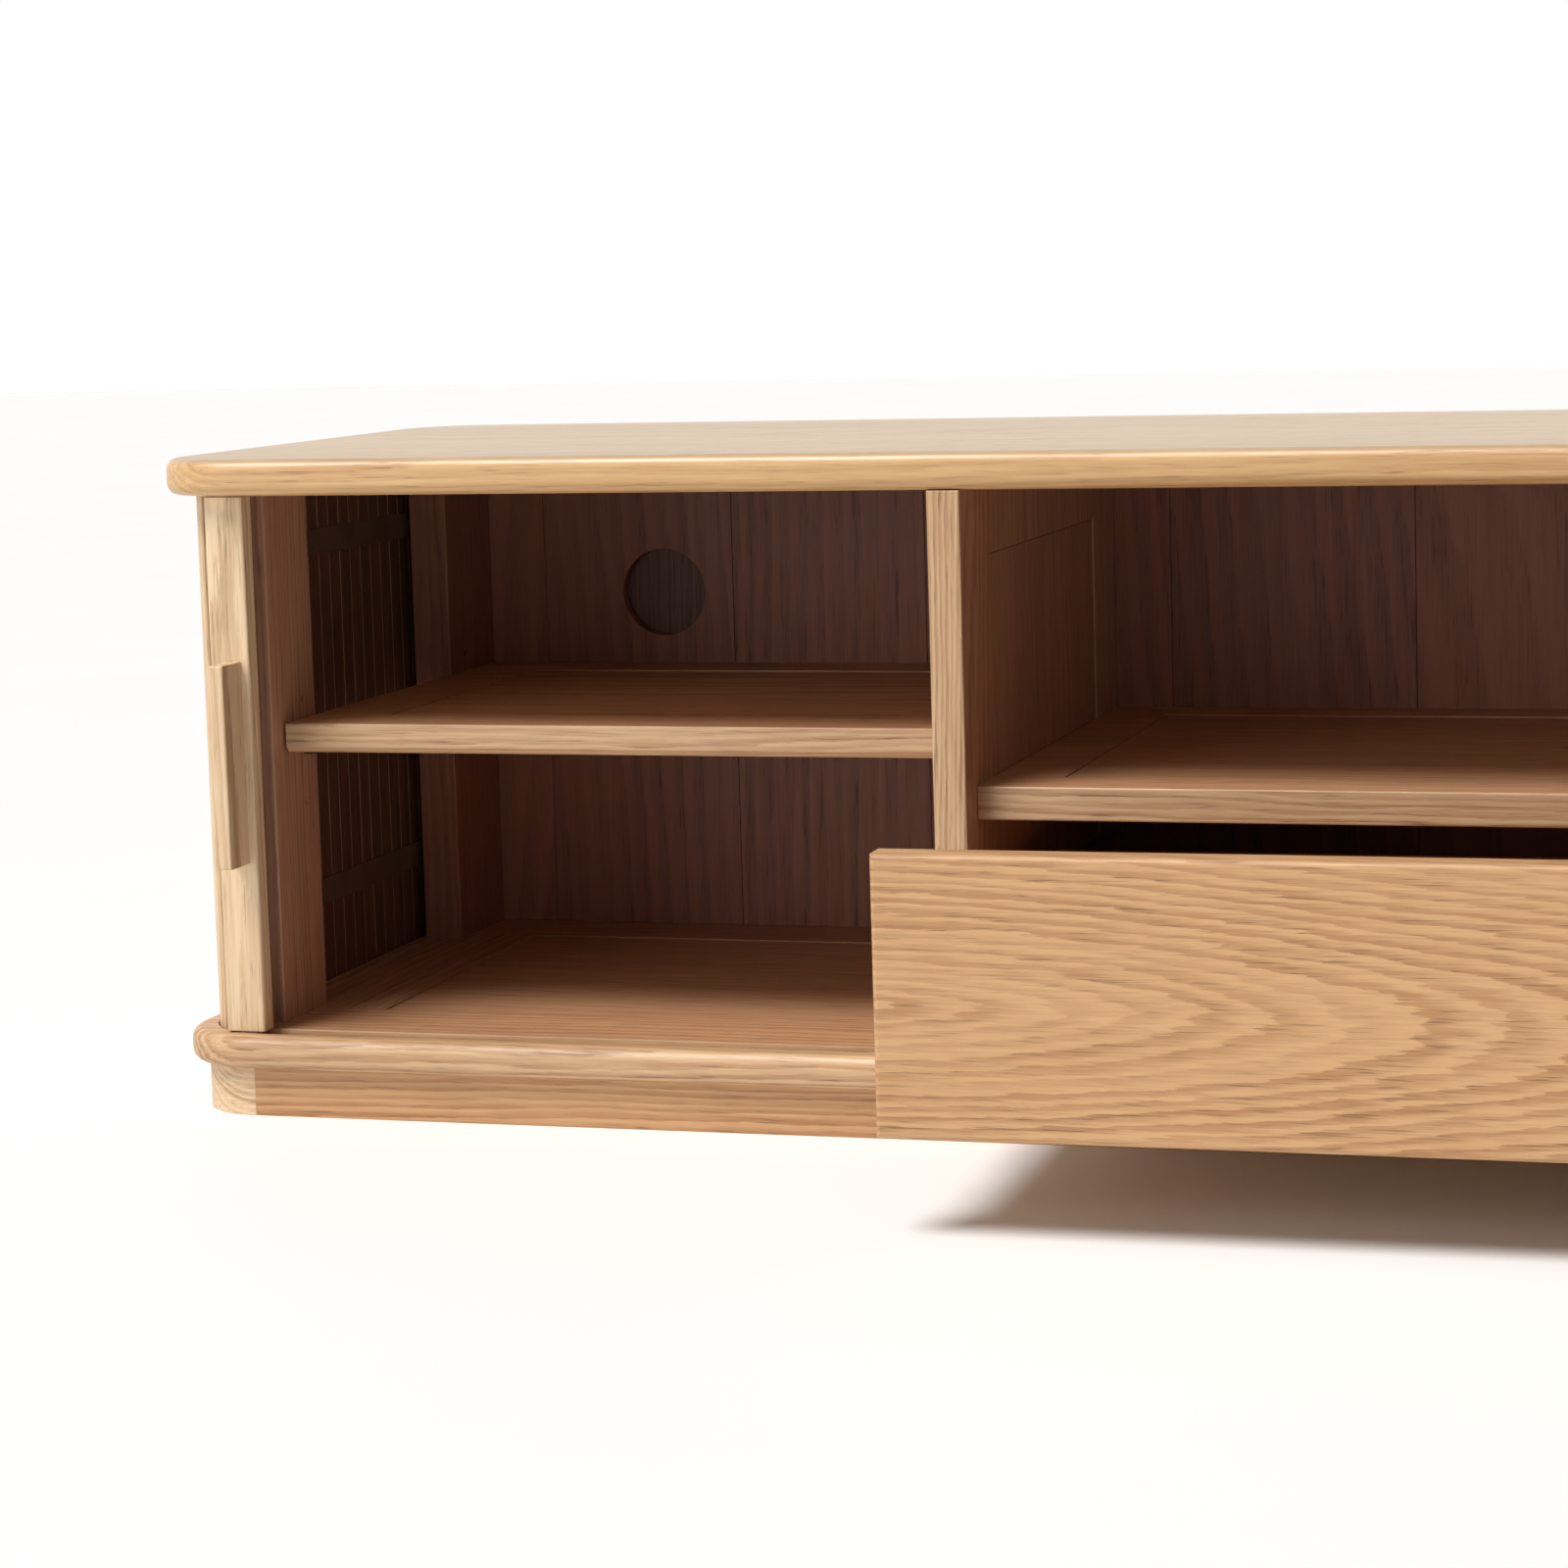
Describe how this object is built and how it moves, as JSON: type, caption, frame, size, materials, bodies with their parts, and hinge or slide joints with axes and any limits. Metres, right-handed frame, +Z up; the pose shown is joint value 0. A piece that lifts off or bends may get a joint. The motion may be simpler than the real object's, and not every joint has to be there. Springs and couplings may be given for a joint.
{
  "type": "media cabinet",
  "caption": "Low oak media cabinet with rounded ends, curtain doors of slats, adjustable shelves, an open centre bay and a wide drawer below it.",
  "frame": {"origin": "middle of the plinth's underside, on the floor", "axes": "+X along the cabinet to its right end as seen from the front, +Y to the back, +Z up"},
  "size_m": [2, 0.681, 0.4],
  "materials": {
    "oak_top": "satin lacquered oak",
    "oak_carcass": "satin lacquered oak",
    "oak_slats": "satin lacquered oak",
    "oak_front": "satin lacquered oak",
    "oak_plinth": "satin lacquered oak",
    "oak_back": "satin lacquered oak boards",
    "oak_drawer_box": "satin lacquered oak",
    "canvas": "woven webbing",
    "nylon": "moulded nylon",
    "pin_brass": "aged brass",
    "screw_steel": "zinc plated",
    "runner_steel": "zinc plated sheet"
  },
  "bodies": {
    "carcass": {"bottom_cross_members": "oak_carcass", "bottom_end_members": "oak_carcass", "bottom_front_rail": "oak_carcass", "bottom_rear_rail": "oak_carcass", "carcass_dowels": "oak_carcass", "centre_back_panel": "oak_back", "centre_bottom_panel": "oak_carcass", "centre_shelf_frame": "oak_carcass", "centre_shelf_panel": "oak_carcass", "left_back_panel": "oak_back", "left_back_run": "oak_slats", "left_bottom_panel": "oak_carcass", "left_canvas_bands": "canvas", "left_divider_frame": "oak_carcass", "left_divider_panel": "oak_carcass", "left_front_post": "oak_carcass", "left_rear_post": "oak_carcass", "left_shelf_pins": "pin_brass", "left_side_slats": "oak_slats", "plinth_braces": "oak_plinth", "plinth_corner_blocks": "oak_plinth", "plinth_end_rails": "oak_plinth", "plinth_front_rail": "oak_plinth", "plinth_rear_rail": "oak_plinth", "plinth_screws": "screw_steel", "right_back_panel": "oak_back", "right_bottom_panel": "oak_carcass", "right_canvas_bands": "canvas", "right_divider_frame": "oak_carcass", "right_divider_panel": "oak_carcass", "right_front_post": "oak_carcass", "right_front_run": "oak_slats", "right_rear_post": "oak_carcass", "right_shelf_pins": "pin_brass", "right_side_slats": "oak_slats", "runner_cabinet_members": "runner_steel", "top_panel": "oak_top"},
    "left_door": {"left_door_glides": "nylon", "left_door_handle": "oak_front", "left_handle_screws": "screw_steel", "left_leading_slat": "oak_slats"},
    "right_door": {"right_door_glides": "nylon", "right_door_handle": "oak_front", "right_handle_screws": "screw_steel", "right_leading_slat": "oak_slats"},
    "left_shelf": {"left_shelf_frame": "oak_carcass", "left_shelf_panel": "oak_carcass"},
    "right_shelf": {"right_shelf_frame": "oak_carcass", "right_shelf_panel": "oak_carcass"},
    "drawer": {"drawer_bottom": "oak_drawer_box", "drawer_box_back": "oak_drawer_box", "drawer_box_front": "oak_drawer_box", "drawer_front": "oak_front", "drawer_left_side": "oak_drawer_box", "drawer_pull": "oak_front", "drawer_right_side": "oak_drawer_box", "drawer_screws": "screw_steel", "runner_drawer_members": "runner_steel"},
    "runner_middles": {"runner_middle_members": "runner_steel"}
  },
  "joints": [
    {"name": "left_door_slide", "type": "slide", "parent": "carcass", "child": "left_door", "axis": [1, 0, 0], "range_m": [0, 0.427], "deforming": ["left_back_run"]},
    {"name": "right_door_slide", "type": "slide", "parent": "carcass", "child": "right_door", "axis": [1, 0, 0], "range_m": [0, 0.427], "deforming": ["right_front_run"]},
    {"name": "drawer_slide", "type": "slide", "parent": "carcass", "child": "drawer", "axis": [0, -1, 0], "range_m": [-0.211, 0.08]},
    {"name": "runner_slide", "type": "slide", "parent": "carcass", "child": "runner_middles", "axis": [0, -1, 0], "range_m": [-0.1055, 0.04]},
    {"name": "left_shelf_lift", "type": "slide", "parent": "carcass", "child": "left_shelf", "axis": [0, 0, 1], "range_m": [0, 0.03]},
    {"name": "right_shelf_lift", "type": "slide", "parent": "carcass", "child": "right_shelf", "axis": [0, 0, 1], "range_m": [0, 0.03]}
  ],
  "couplings": [
    {"joint": "runner_slide", "follows": "drawer_slide", "ratio": 0.5}
  ]
}
